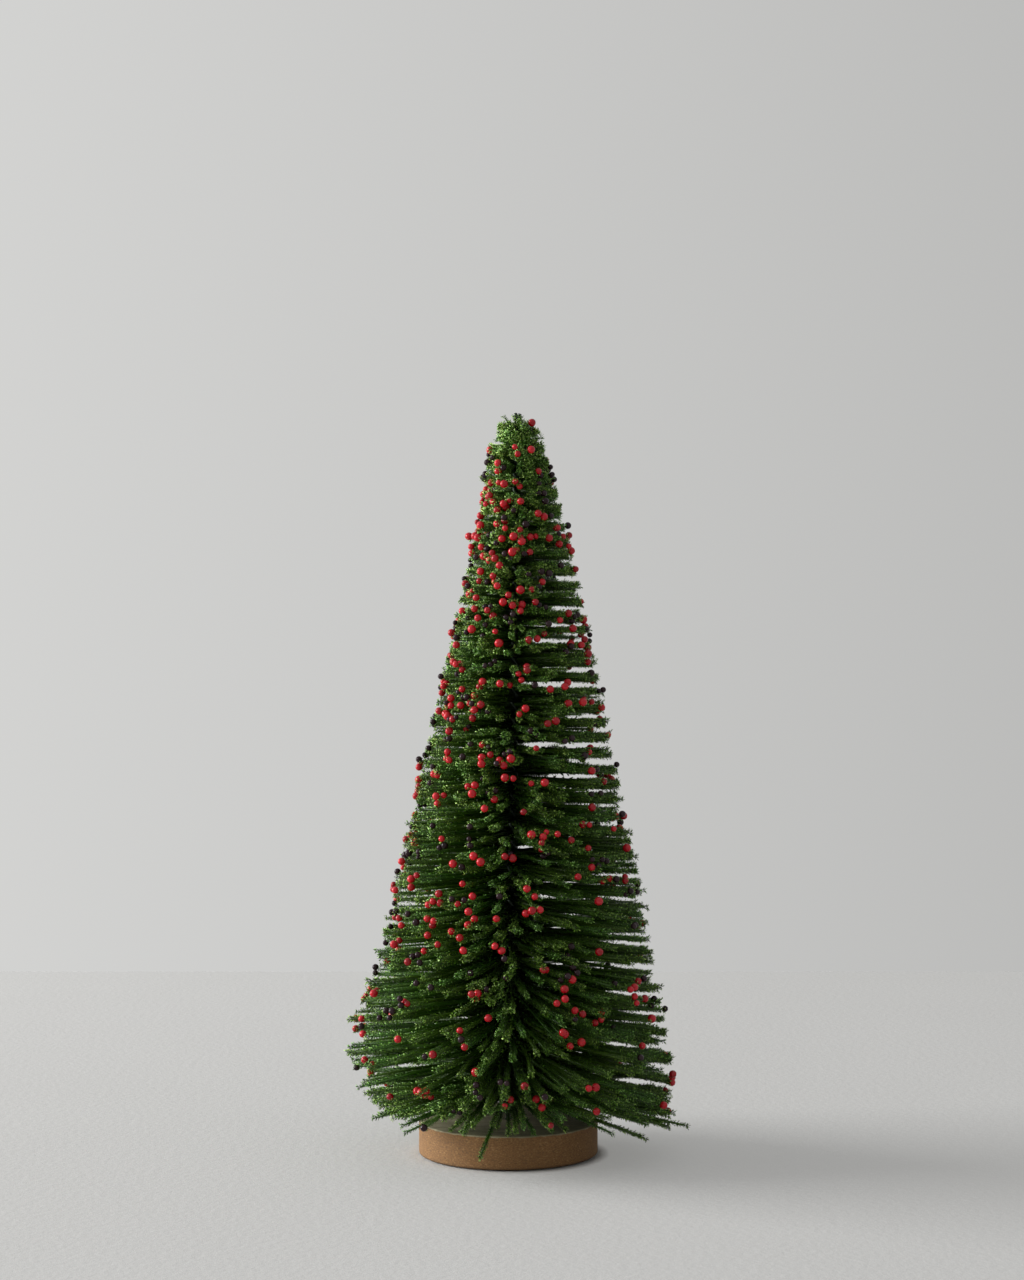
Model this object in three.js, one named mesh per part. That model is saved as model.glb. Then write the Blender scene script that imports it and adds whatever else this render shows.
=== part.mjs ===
// A bottle-brush christmas tree on a round wooden base.
// Stems of needle foliage are clamped between two twisted wires, so they fan out as two spiral sheets,
// and berries sit at the stem tips. Millimetres, +Z up, -Y to the viewer.
// The origin is the centre of the underside.
import * as THREE from 'three';

// Clearance between neighbouring pieces that do not rest face to face
const SEAT_GAP = 0.3;

// Wooden base with a thin pad set in under it and a blind hole for the trunk
const BASE_RADIUS = 49;
const BASE_THICKNESS = 17.9;
const BASE_EDGE_RADIUS = 1.8;
const PAD_THICKNESS = 0.6;
const PAD_INSET = 3;
const HOLE_DEPTH = 13;
const BASE_SEGMENTS = 48;
const EDGE_STEPS = 3;

// Trunk: a pair of wires twisted left-handed, one full turn in each lead
const TREE_HEIGHT = 406;
const WIRE_DIAMETER = 2;
const TWIST_LEAD = 16.65;
const TRUNK_LEAN = THREE.MathUtils.degToRad(0.75);
const WIRE_STEPS_PER_TURN = 8;
const WIRE_SIDES = 5;

// Core: the layer of stem middles between the wires. The stems leave its two edges.
const CORE_WIDTH = 6;
const CORE_THICKNESS = 0.5;

// Foliage, cut to a cone with a blunt crown. The trunk is bare at its foot and at its very tip.
const BARE_FOOT = 15.5;
const BARE_TIP = 4;
const CROWN_HEIGHT = 16;
const SKIRT_RADIUS = 93;
const SHOULDER_RADIUS = 15.5;
const CROWN_RADIUS = 7.5;
const STEM_WIDTH = 3.2;
const STEM_TIP_WIDTH = 2.2;
const STEM_SIDES = 3;

// The widest a stem is for its reach, so that the short stems of the crown do not crowd
const STEM_WIDTH_SHARE = 0.16;
// Where along its free length a stem reaches its full width
const NECK_SHARE = 0.4;
// The lowest stems leave the trunk in this direction, counter-clockwise from +X
const FIRST_TIER_TURN = THREE.MathUtils.degToRad(58);
// The lowest stems droop and the topmost ones rise
const SKIRT_DROOP = THREE.MathUtils.degToRad(9);
const DROOP_POWER = 4;
const CROWN_RISE = THREE.MathUtils.degToRad(24);
// Unevenness of the hand-cut stem tips
const TIP_LIFT = 1.3;
const REACH_WOBBLE_SHARE = 0.05;
const TURN_WOBBLE_SHARE = 0.22;

// Slices of the brush up the foliage. Each step of a slice carries two stems, one on each side.
const BRUSH_SLICES = [
  { name: 'brush_lower', topShare: 0.23, steps: 80 },
  { name: 'brush_middle', topShare: 0.47, steps: 64 },
  { name: 'brush_upper', topShare: 0.72, steps: 52 },
  { name: 'brush_crown', topShare: 1, steps: 48 },
];

// Berries, every third one dark
const RED_BERRY_DIAMETER = 4.4;
const DARK_BERRY_DIAMETER = 3.8;
const BERRY_COUNT = 52;
const DARK_BERRY_EVERY = 3;
const BERRY_SIZE_WOBBLE_SHARE = 0.08;
const BERRY_DETAIL = 1;

// Heights and radii that follow from the sizes above
const BASE_TOP = PAD_THICKNESS + BASE_THICKNESS;
const HOLE_FLOOR = BASE_TOP - HOLE_DEPTH;
const LEAN_PIVOT = BASE_TOP - HOLE_DEPTH / 2;
const FOLIAGE_FOOT = BASE_TOP + BARE_FOOT;
const FOLIAGE_TOP = TREE_HEIGHT - BARE_TIP;
const SHOULDER_HEIGHT = FOLIAGE_TOP - CROWN_HEIGHT;
const WIRE_RADIUS = WIRE_DIAMETER / 2;
const WIRE_OFFSET = CORE_THICKNESS / 2 + SEAT_GAP + WIRE_RADIUS;
const WIRE_CLIMB = Math.atan2(TWIST_LEAD, 2 * Math.PI * WIRE_OFFSET);
const WIRE_END_RISE = WIRE_RADIUS * Math.cos(WIRE_CLIMB);
const HOLE_RADIUS = WIRE_OFFSET + WIRE_RADIUS + SEAT_GAP + (HOLE_DEPTH / 2) * Math.tan(TRUNK_LEAN);

const woodMaterial = new THREE.MeshStandardMaterial({ color: 0x9a7544, roughness: 0.85 });
const padMaterial = new THREE.MeshStandardMaterial({ color: 0x23201d, roughness: 0.95 });
const wireMaterial = new THREE.MeshStandardMaterial({ color: 0x2c3a26, roughness: 0.5, metalness: 0.6 });
const foliageMaterial = new THREE.MeshStandardMaterial({
  color: 0x35602a,
  roughness: 0.7,
  flatShading: true,
});
const redBerryMaterial = new THREE.MeshStandardMaterial({ color: 0xb31d2c, roughness: 0.3 });
const darkBerryMaterial = new THREE.MeshStandardMaterial({ color: 0x2b1d2b, roughness: 0.35 });

// Steady unevenness between -1 and 1. Each share spreads the numbers evenly, and each in its own order.
const LIFT_SEED_SHARE = 0.618034;
const REACH_SEED_SHARE = 0.754878;
const TURN_SEED_SHARE = 0.56984;
const wobble = (number, seedShare) => 2 * ((number * seedShare) % 1) - 1;

const flatDirection = (turn) => new THREE.Vector3(Math.cos(turn), Math.sin(turn), 0);

// Direction in which the stems leave the trunk at a height. It turns clockwise as it climbs.
const turnAt = (height) =>
  FIRST_TIER_TURN - (2 * Math.PI * (height - FOLIAGE_FOOT)) / TWIST_LEAD;

// A closed surface joined from rings of points. Rings and caps run counter-clockwise seen from outside,
// looking back along the growing shell.
class Shell {
  constructor() {
    this.points = [];
    this.faces = [];
  }

  ring(points) {
    return points.map((point) => this.points.push(point) - 1);
  }

  // Joins two rings. An open side leaves out its first triangle, for a stem to grow from.
  bridge(near, far, isOpen = () => false) {
    near.forEach((corner, side) => {
      const next = (side + 1) % near.length;
      if (!isOpen(side)) this.faces.push([corner, near[next], far[next]]);
      this.faces.push([corner, far[next], far[side]]);
    });
  }

  cap(ring) {
    for (let i = 1; i < ring.length - 1; i += 1) this.faces.push([ring[0], ring[i], ring[i + 1]]);
  }

  closeEnds(rings) {
    const [first, ...others] = rings[0];
    this.cap([first, ...others.reverse()]);
    this.cap(rings[rings.length - 1]);
  }

  geometry() {
    const geometry = new THREE.BufferGeometry().setFromPoints(this.points);
    geometry.setIndex(this.faces.flat());
    geometry.computeVertexNormals();
    return geometry;
  }
}

function circlePoints(centre, xAxis, yAxis, radius, sides, startAngle = 0) {
  return Array.from({ length: sides }, (_, i) => {
    const angle = startAngle + (2 * Math.PI * i) / sides;
    return centre
      .clone()
      .addScaledVector(xAxis, radius * Math.cos(angle))
      .addScaledVector(yAxis, radius * Math.sin(angle));
  });
}

// A round piece turned from half its outline, with its axis along +Z
function turned(outline) {
  return new THREE.LatheGeometry(outline, BASE_SEGMENTS).rotateX(Math.PI / 2);
}

// A quarter of the base's eased edge, from one angle round its centre
function easedEdge(centreHeight, fromAngle) {
  return Array.from({ length: EDGE_STEPS + 1 }, (_, i) => {
    const angle = fromAngle + ((i / EDGE_STEPS) * Math.PI) / 2;
    return new THREE.Vector2(
      BASE_RADIUS - BASE_EDGE_RADIUS + BASE_EDGE_RADIUS * Math.cos(angle),
      centreHeight + BASE_EDGE_RADIUS * Math.sin(angle),
    );
  });
}

// From the centre of the disc's underside, round the rim, across the top and down into the trunk hole
function baseDisc() {
  return turned([
    new THREE.Vector2(0, PAD_THICKNESS),
    ...easedEdge(PAD_THICKNESS + BASE_EDGE_RADIUS, -Math.PI / 2),
    ...easedEdge(BASE_TOP - BASE_EDGE_RADIUS, 0),
    new THREE.Vector2(HOLE_RADIUS, BASE_TOP),
    new THREE.Vector2(HOLE_RADIUS, HOLE_FLOOR),
    new THREE.Vector2(0, HOLE_FLOOR),
  ]);
}

function basePad() {
  const radius = BASE_RADIUS - PAD_INSET;
  return turned([
    new THREE.Vector2(0, 0),
    new THREE.Vector2(radius, 0),
    new THREE.Vector2(radius, PAD_THICKNESS),
    new THREE.Vector2(0, PAD_THICKNESS),
  ]);
}

// From the trunk's axis to a wire's centre. The two wires lie on opposite faces of the core, side 1 or -1.
const wireDirection = (height, side) => flatDirection(turnAt(height) + (side * Math.PI) / 2);
const wirePoint = (height, side) =>
  wireDirection(height, side).multiplyScalar(WIRE_OFFSET).setZ(height);

function trunkWire(side) {
  const foot = HOLE_FLOOR + SEAT_GAP + WIRE_END_RISE;
  const top = TREE_HEIGHT - WIRE_END_RISE;
  const steps = Math.ceil(((top - foot) / TWIST_LEAD) * WIRE_STEPS_PER_TURN);
  const shell = new Shell();
  const rings = Array.from({ length: steps + 1 }, (_, i) => {
    const height = foot + ((top - foot) * i) / steps;
    const outward = wireDirection(height, side);
    const along = new THREE.Vector3(outward.y, -outward.x, Math.tan(WIRE_CLIMB)).normalize();
    const across = along.cross(outward);
    return shell.ring(circlePoints(wirePoint(height, side), outward, across, WIRE_RADIUS, WIRE_SIDES));
  });
  rings.slice(1).forEach((ring, i) => shell.bridge(rings[i], ring));
  shell.closeEnds(rings);
  return shell.geometry();
}

// How far up from the foliage foot, or from the shoulder, a height is, as a share
const crownShareAt = (height) =>
  Math.max(0, (height - SHOULDER_HEIGHT) / (FOLIAGE_TOP - SHOULDER_HEIGHT));
const coneShareAt = (height) =>
  Math.min(1, (height - FOLIAGE_FOOT) / (SHOULDER_HEIGHT - FOLIAGE_FOOT));

// Radius of the cut foliage at a height on the trunk
function reachAt(height) {
  const cone = THREE.MathUtils.lerp(SKIRT_RADIUS, SHOULDER_RADIUS, coneShareAt(height));
  return THREE.MathUtils.lerp(cone, CROWN_RADIUS, crownShareAt(height));
}

// How steeply the stems rise at a height on the trunk, less than zero where they droop
function slopeAt(height) {
  return CROWN_RISE * crownShareAt(height) - SKIRT_DROOP * (1 - coneShareAt(height)) ** DROOP_POWER;
}

// The heights of each slice's steps. A slice starts a clearance above the one below it.
function layOutSlices() {
  return BRUSH_SLICES.map(({ name, topShare, steps }, i) => {
    const footShare = i === 0 ? 0 : BRUSH_SLICES[i - 1].topShare;
    const clearance = i === 0 ? 0 : SEAT_GAP;
    const foot = THREE.MathUtils.lerp(FOLIAGE_FOOT, FOLIAGE_TOP, footShare) + clearance;
    const top = THREE.MathUtils.lerp(FOLIAGE_FOOT, FOLIAGE_TOP, topShare);
    const heights = Array.from({ length: steps + 1 }, (_, step) => foot + ((top - foot) * step) / steps);
    return { name, heights, stems: [] };
  });
}

// Gives every step of a slice its two stems, numbered on from the slices below
function plantStems(slice, firstNumber) {
  slice.heights.slice(1).forEach((above, step) => {
    const below = slice.heights[step];
    const height = (below + above) / 2;
    const stepTurn = turnAt(above) - turnAt(below);
    [0, Math.PI].forEach((sideTurn) => {
      const number = firstNumber + slice.stems.length;
      const sway = stepTurn * TURN_WOBBLE_SHARE * wobble(number, TURN_SEED_SHARE);
      const reach = reachAt(height) * (1 + REACH_WOBBLE_SHARE * wobble(number, REACH_SEED_SHARE));
      const lift = TIP_LIFT * wobble(number, LIFT_SEED_SHARE);
      slice.stems.push({ height, turn: turnAt(height) + sideTurn + sway, reach, lift });
    });
  });
}

// Centre of a stem's section at a share of its free length. It bends more and more towards its tip.
function stemPoint(stem, share) {
  const distance = THREE.MathUtils.lerp(CORE_WIDTH / 2, stem.reach, share);
  const tipRise = stem.reach * Math.tan(slopeAt(stem.height)) + stem.lift;
  return flatDirection(stem.turn).multiplyScalar(distance).setZ(stem.height + tipRise * share * share);
}

const stemWidth = (stem) => Math.min(STEM_WIDTH, STEM_WIDTH_SHARE * stem.reach);

// A berry sits past the tip of its stem, which is cut short so that the berry stays near the cone
function hangBerries(stems) {
  return Array.from({ length: BERRY_COUNT }, (_, i) => {
    const dark = i % DARK_BERRY_EVERY === 1;
    const diameter = dark ? DARK_BERRY_DIAMETER : RED_BERRY_DIAMETER;
    const radius = (diameter / 2) * (1 + BERRY_SIZE_WOBBLE_SHARE * wobble(i, LIFT_SEED_SHARE));
    const stem = stems[Math.floor(((i + 1 / 2) * stems.length) / BERRY_COUNT)];
    stem.reach -= radius + SEAT_GAP;
    const tip = stemPoint(stem, 1);
    const outward = tip.clone().sub(stemPoint(stem, NECK_SHARE)).normalize();
    return { dark, radius, centre: tip.addScaledVector(outward, radius + SEAT_GAP) };
  });
}

// The angle at which a round ring's first corner best faces that of a given ring, so the stem is not wrung
function facingAngle(corners, xAxis, yAxis) {
  const middle = new THREE.Vector3();
  corners.forEach((corner) => middle.addScaledVector(corner, 1 / corners.length));
  const lean = new THREE.Vector2();
  corners.forEach((corner, i) => {
    const spoke = corner.clone().sub(middle);
    const place = new THREE.Vector2(spoke.dot(xAxis), spoke.dot(yAxis)).normalize();
    lean.add(place.rotateAround(new THREE.Vector2(), (-2 * Math.PI * i) / corners.length));
  });
  return lean.angle();
}

// Grows one stem from a triangle of the core's edge: a thin root, a full neck and a blunt tip
function growStem(shell, root, stem) {
  const neck = stemPoint(stem, NECK_SHARE);
  const tip = stemPoint(stem, 1);
  const along = tip.clone().sub(neck).normalize();
  const across = new THREE.Vector3(0, 0, 1).cross(along).normalize();
  const up = along.cross(across);
  const startAngle = facingAngle(root.map((corner) => shell.points[corner]), across, up);
  const [neckRing, tipRing] = [
    [neck, stemWidth(stem) / 2],
    [tip, Math.min(STEM_TIP_WIDTH, stemWidth(stem)) / 2],
  ].map(([centre, radius]) =>
    shell.ring(circlePoints(centre, across, up, radius, STEM_SIDES, startAngle)),
  );
  shell.bridge(root, neckRing);
  shell.bridge(neckRing, tipRing);
  shell.cap(tipRing);
}

// Section of the core at a height, with a spine point on each face so that it twists cleanly
function corePoints(height) {
  const outward = flatDirection(turnAt(height)).multiplyScalar(CORE_WIDTH / 2);
  const across = flatDirection(turnAt(height) + Math.PI / 2).multiplyScalar(CORE_THICKNESS / 2);
  const corners = [[0, -1], [1, -1], [1, 1], [0, 1], [-1, 1], [-1, -1]];
  return corners.map(([out, side]) =>
    new THREE.Vector3(0, 0, height).addScaledVector(outward, out).addScaledVector(across, side),
  );
}

// The sides of the core's section that the stems leave from, in the order that plantStems has
const STEM_EDGES = [1, 4];

function brushSlice(slice) {
  const shell = new Shell();
  const rings = slice.heights.map((height) => shell.ring(corePoints(height)));
  rings.slice(1).forEach((far, step) => {
    const near = rings[step];
    shell.bridge(near, far, (side) => STEM_EDGES.includes(side));
    STEM_EDGES.forEach((side, i) => {
      growStem(shell, [near[side], near[side + 1], far[side + 1]], slice.stems[STEM_EDGES.length * step + i]);
    });
  });
  shell.closeEnds(rings);
  return shell.geometry();
}

// Least distance between the surfaces of the two wires, measured on points of their centre lines
function leastWireGap() {
  const samplesPerTurn = 96;
  const start = wirePoint(FOLIAGE_FOOT, 1);
  let least = Infinity;
  for (let i = -samplesPerTurn; i <= samplesPerTurn; i += 1) {
    const other = wirePoint(FOLIAGE_FOOT + (TWIST_LEAD * i) / samplesPerTurn, -1);
    least = Math.min(least, start.distanceTo(other));
  }
  return least - WIRE_DIAMETER;
}

// Least distance between the surfaces of the stems, measured on points from their necks to their tips
function leastStemGap(stems) {
  const sampleShares = [0.4, 0.5, 0.6, 0.7, 0.8, 0.9, 1];
  const courses = stems.map((stem) => sampleShares.map((share) => stemPoint(stem, share)));
  let least = Infinity;
  stems.forEach((stem, a) => {
    for (let b = a + 1; b < stems.length && stems[b].height < stem.height + TWIST_LEAD; b += 1) {
      const widths = (stemWidth(stem) + stemWidth(stems[b])) / 2;
      courses[a].forEach((point) => {
        courses[b].forEach((other) => {
          least = Math.min(least, point.distanceTo(other) - widths);
        });
      });
    }
  });
  return least;
}

function piece(name, geometry, material) {
  const mesh = new THREE.Mesh(geometry, material);
  mesh.name = name;
  return mesh;
}

const slices = layOutSlices();
const stems = slices.flatMap((slice, i) => {
  plantStems(slice, 2 * BRUSH_SLICES.slice(0, i).reduce((sum, { steps }) => sum + steps, 0));
  return slice.stems;
});
const berries = hangBerries(stems);
console.log(`${stems.length} stems, least gap between them ${leastStemGap(stems).toFixed(2)} mm`);
console.log(`least gap between the trunk wires ${leastWireGap().toFixed(2)} mm`);

// The trunk, the foliage and the berries lean together about the middle of the trunk hole
const brush = new THREE.Group();
brush.position.z = -LEAN_PIVOT;
brush.add(piece('trunk_wire_a', trunkWire(1), wireMaterial));
brush.add(piece('trunk_wire_b', trunkWire(-1), wireMaterial));
slices.forEach((slice) => brush.add(piece(slice.name, brushSlice(slice), foliageMaterial)));
berries.forEach(({ dark, radius, centre }, i) => {
  const number = String(i + 1).padStart(2, '0');
  const ball = new THREE.IcosahedronGeometry(radius, BERRY_DETAIL);
  const berry = dark
    ? piece(`berry_dark_${number}`, ball, darkBerryMaterial)
    : piece(`berry_red_${number}`, ball, redBerryMaterial);
  berry.position.copy(centre);
  brush.add(berry);
});
const leaning = new THREE.Group();
leaning.position.z = LEAN_PIVOT;
leaning.rotation.y = TRUNK_LEAN;
leaning.add(brush);

const tree = new THREE.Group();
tree.add(piece('base_pad', basePad(), padMaterial));
tree.add(piece('base_disc', baseDisc(), woodMaterial));
tree.add(leaning);

export default tree;
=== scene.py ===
# A bottle-brush christmas tree on a round wooden base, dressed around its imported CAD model.
# Thousands of needle stems fan out between two twisted wires, with red and dark berries at their tips.
# Metres, +Z up, -Y to the viewer. The origin is the centre of the underside.
import math
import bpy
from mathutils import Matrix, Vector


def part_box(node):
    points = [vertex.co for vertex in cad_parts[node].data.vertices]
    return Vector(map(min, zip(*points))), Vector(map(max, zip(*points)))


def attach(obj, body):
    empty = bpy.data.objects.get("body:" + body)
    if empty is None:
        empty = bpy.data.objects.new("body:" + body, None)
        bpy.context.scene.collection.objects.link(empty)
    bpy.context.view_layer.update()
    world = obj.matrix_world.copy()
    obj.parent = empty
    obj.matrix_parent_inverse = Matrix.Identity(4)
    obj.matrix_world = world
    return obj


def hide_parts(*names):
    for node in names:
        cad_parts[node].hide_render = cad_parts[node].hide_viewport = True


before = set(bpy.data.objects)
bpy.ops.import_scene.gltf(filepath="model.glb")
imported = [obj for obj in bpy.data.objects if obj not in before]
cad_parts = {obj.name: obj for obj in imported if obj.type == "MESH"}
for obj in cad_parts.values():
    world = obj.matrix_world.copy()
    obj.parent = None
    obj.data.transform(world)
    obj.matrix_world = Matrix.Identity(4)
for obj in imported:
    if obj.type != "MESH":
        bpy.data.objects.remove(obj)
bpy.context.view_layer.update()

from types import SimpleNamespace

import bmesh
import bpy
import numpy as np
from bpy.props import FloatProperty, FloatVectorProperty, IntProperty, PointerProperty
from mathutils import Matrix, Vector

bl_info = {
    "name": "Bottle-Brush Christmas Tree",
    "version": (1, 0, 0),
    "blender": (4, 5, 0),
    "location": "View3D > Sidebar > Tree",
    "description": "Dresses the CAD model of a bottle-brush christmas tree",
    "category": "Object",
}

MM = 0.001
BODY = "root"
BAKE_MAP = "OFBake"

# The part's own sizes, the same as in its source
BASE_RADIUS = 49 * MM
PAD_THICKNESS = 0.6 * MM
PAD_RADIUS = 46 * MM
BASE_TOP = 18.5 * MM
HOLE_DEPTH = 13 * MM
HOLE_RADIUS = 2.94 * MM
SEAT_GAP = 0.3 * MM
TREE_HEIGHT = 406 * MM
WIRE_RADIUS = 1 * MM
WIRE_OFFSET = 1.55 * MM
TWIST_LEAD = 16.65 * MM
TRUNK_LEAN = math.radians(0.75)
LEAN_PIVOT = 12 * MM
FOLIAGE_FOOT = 34 * MM
FOLIAGE_TOP = 402 * MM
SHOULDER_HEIGHT = 386 * MM
SKIRT_RADIUS = 93 * MM
SHOULDER_RADIUS = 15.5 * MM
CROWN_RADIUS = 7.5 * MM
FIRST_TIER_TURN = math.radians(58)
SKIRT_DROOP = math.radians(9)
CROWN_RISE = math.radians(24)
BRUSH_NODES = ["brush_lower", "brush_middle", "brush_upper", "brush_crown"]
BRUSH_TOP_SHARES = [0.23, 0.47, 0.72, 1]

# Where this finer tree differs: a crisper board, thinner cores, and a droop that stays nearer the skirt
BASE_EDGE_RADIUS = 0.9 * MM
CORE_RADIUS = 0.6 * MM
DROOP_POWER = 6
# Edges between faces that meet at less than this look soft
SOFT_ANGLE = math.radians(40)
WIRE_SOFT_ANGLE = math.radians(50)

# Where the photo's camera stands
EYE_DISTANCE = 1328 * MM
EYE_HEIGHT = 278.5 * MM

# Sizes and colours that a user would change


def colour_setting(name, description, default):
    return FloatVectorProperty(
        name=name, description=description, default=default, subtype="COLOR", min=0, max=1
    )


def length_setting(name, description, default, low, high):
    return FloatProperty(
        name=name, description=description, default=default, min=low, max=high,
        subtype="DISTANCE", unit="LENGTH",
    )


class BaseSettings(bpy.types.PropertyGroup):
    segments: IntProperty(
        name="Segments", description="Sides of the round base", default=128, min=32, max=256
    )
    side_colour: colour_setting("Side", "Bare fibre board", (0.272, 0.136, 0.045))
    top_colour: colour_setting("Top", "Dull olive-brown stain", (0.36, 0.325, 0.200))
    pad_colour: colour_setting("Pad", "Felt under the base", (0.020, 0.018, 0.016))


class TrunkSettings(bpy.types.PropertyGroup):
    wire_sides: IntProperty(
        name="Wire sides", description="Sides of a wire's section", default=12, min=6, max=24
    )
    steps_per_turn: IntProperty(
        name="Steps per turn", description="Sections in one turn of the twist", default=24, min=12, max=48
    )
    colour: colour_setting("Wire", "Dark green lacquer", (0.030, 0.050, 0.028))


class FoliageSettings(bpy.types.PropertyGroup):
    fingers_per_turn: FloatProperty(
        name="Fingers per turn", description="Bunches of stems in one turn of one spiral sheet",
        default=58, min=8, max=80,
    )
    needle_length: length_setting("Needle length", "Length of a cut needle", 1.5 * MM, 0.5 * MM, 6 * MM)
    needle_width: length_setting("Needle width", "Width at its root", 0.46 * MM, 0.1 * MM, 2 * MM)
    needle_lean: FloatProperty(
        name="Needle lean", description="Angle between a needle and its stem",
        default=math.radians(48), min=0, max=math.radians(90), subtype="ANGLE", unit="ROTATION",
    )
    # From root to tip: painted shade deep in the brush, the needle, and the cut tips with a painted
    # highlight on them
    deep_colour: colour_setting("Deep", "Needle roots deep in the brush", (0.015, 0.033, 0.004))
    leaf_colour: colour_setting("Needle", "Middle of a needle", (0.198, 0.448, 0.026))
    tip_colour: colour_setting("Tip", "Cut needle tips", (0.690, 0.990, 0.290))


class BerrySettings(bpy.types.PropertyGroup):
    clusters: IntProperty(
        name="Clusters", description="Berries and bunches of berries over the whole tree",
        default=650, min=0, max=1200,
    )
    red_diameter: length_setting("Red berry", "Diameter of a red berry", 3.95 * MM, 2 * MM, 8 * MM)
    dark_diameter: length_setting("Dark berry", "Diameter of a dark berry", 3.4 * MM, 2 * MM, 8 * MM)
    red_colour: colour_setting("Red", "Red lacquer", (0.54, 0.004, 0.013))
    dark_colour: colour_setting("Dark", "Purple-black lacquer", (0.020, 0.005, 0.008))


class StageSettings(bpy.types.PropertyGroup):
    camera_distance: length_setting("Camera distance", "From the camera to the trunk", EYE_DISTANCE, 0.5, 5)
    camera_height: length_setting("Camera height", "Camera above the floor", EYE_HEIGHT, 0, 3)
    lens: FloatProperty(
        name="Lens", description="Focal length", default=68.0, min=20, max=200,
        subtype="DISTANCE_CAMERA", unit="CAMERA",
    )
    wall_distance: length_setting("Wall distance", "From the trunk to the wall behind it", 0.734, 0.3, 3)
    key_power: FloatProperty(
        name="Key light", description="Power of the soft light on the left", default=270,
        min=0, max=500, subtype="POWER", unit="POWER",
    )
    ambient: FloatProperty(
        name="Ambient", description="Strength of the light from all round", default=0.38, min=0, max=2
    )
    floor_colour: colour_setting("Floor", "Pale floor", (0.68, 0.675, 0.655))
    wall_colour: colour_setting("Wall", "Pale wall", (0.59, 0.59, 0.58))


class TreeSettings(bpy.types.PropertyGroup):
    base: PointerProperty(type=BaseSettings)
    trunk: PointerProperty(type=TrunkSettings)
    foliage: PointerProperty(type=FoliageSettings)
    berries: PointerProperty(type=BerrySettings)
    stage: PointerProperty(type=StageSettings)


# Making materials


def new_material(name, roughness, metallic=0.0):
    """An empty node material, its tree and its shader."""
    material = bpy.data.materials.new(name)
    material.use_nodes = True
    shader = material.node_tree.nodes["Principled BSDF"]
    shader.inputs["Roughness"].default_value = roughness
    shader.inputs["Metallic"].default_value = metallic
    return material, material.node_tree, shader


def feed(tree, node, **inputs):
    """Sets a node's inputs, each to a value or to another node's output. i0 is the first input."""
    for name, value in inputs.items():
        socket = node.inputs[int(name[1:]) if name[1:].isdigit() else name.replace("_", " ")]
        if isinstance(value, bpy.types.NodeSocket):
            tree.links.new(value, socket)
        else:
            socket.default_value = value


def add_node(tree, kind, settings=None, **inputs):
    """A node with its settings and inputs."""
    node = tree.nodes.new(kind)
    for name, value in (settings or {}).items():
        setattr(node, name, value)
    feed(tree, node, **inputs)
    return node


def noise(tree, vector, scale, detail=2.0, roughness=0.5):
    """Output of a noise pattern, about 0.3 to 0.7."""
    return add_node(
        tree, "ShaderNodeTexNoise", Vector=vector, Scale=scale, Detail=detail, Roughness=roughness
    ).outputs["Fac"]


def ramp(tree, value, stops):
    """Colour of a value, from stops of place and colour."""
    node = add_node(tree, "ShaderNodeValToRGB", Fac=value)
    band = node.color_ramp
    while len(band.elements) < len(stops):
        band.elements.new(0.5)
    for element, (place, colour) in zip(band.elements, stops):
        element.position = place
        element.color = (*colour, 1)
    return node.outputs["Color"]


def span(tree, value, low, high, to_low=0.0, to_high=1.0):
    """A value's place between two limits, clamped."""
    return add_node(
        tree, "ShaderNodeMapRange", Value=value, From_Min=low, From_Max=high, To_Min=to_low, To_Max=to_high
    ).outputs["Result"]


def calculate(tree, operation, first, second, *third, clamp=False):
    """Output of one step of arithmetic on values and other nodes' outputs."""
    values = {f"i{number}": value for number, value in enumerate((first, second, *third))}
    return add_node(
        tree, "ShaderNodeMath", {"operation": operation, "use_clamp": clamp}, **values
    ).outputs[0]


def mix(tree, factor, first, second, blend="MIX"):
    """Mix of two colours, each a colour or another node's output."""
    first, second = [
        value if isinstance(value, bpy.types.NodeSocket) else (*value, 1) for value in (first, second)
    ]
    return add_node(
        tree, "ShaderNodeMix", {"data_type": "RGBA", "blend_type": blend}, i0=factor, i6=first, i7=second
    ).outputs[2]


def show_mix(tree, output, factor, first, second):
    """Shows a mix of two shaders on an output node."""
    both = add_node(tree, "ShaderNodeMixShader", i0=factor, i1=first.outputs[0], i2=second.outputs[0])
    feed(tree, tree.nodes[output], Surface=both.outputs[0])


def bump(tree, shader, height, distance, strength=1.0):
    """Raises the shader's surface by a pattern, over a distance in metres."""
    raised = add_node(tree, "ShaderNodeBump", Height=height, Distance=distance, Strength=strength)
    feed(tree, shader, Normal=raised.outputs["Normal"])


def object_place(tree):
    return add_node(tree, "ShaderNodeTexCoord").outputs["Object"]


def stretched(tree, place, scale):
    """A pattern's place, scaled along each axis."""
    return add_node(tree, "ShaderNodeMapping", Vector=place, Scale=scale).outputs["Vector"]


def shaded(colour, factor):
    return tuple(channel * factor for channel in colour)


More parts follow.
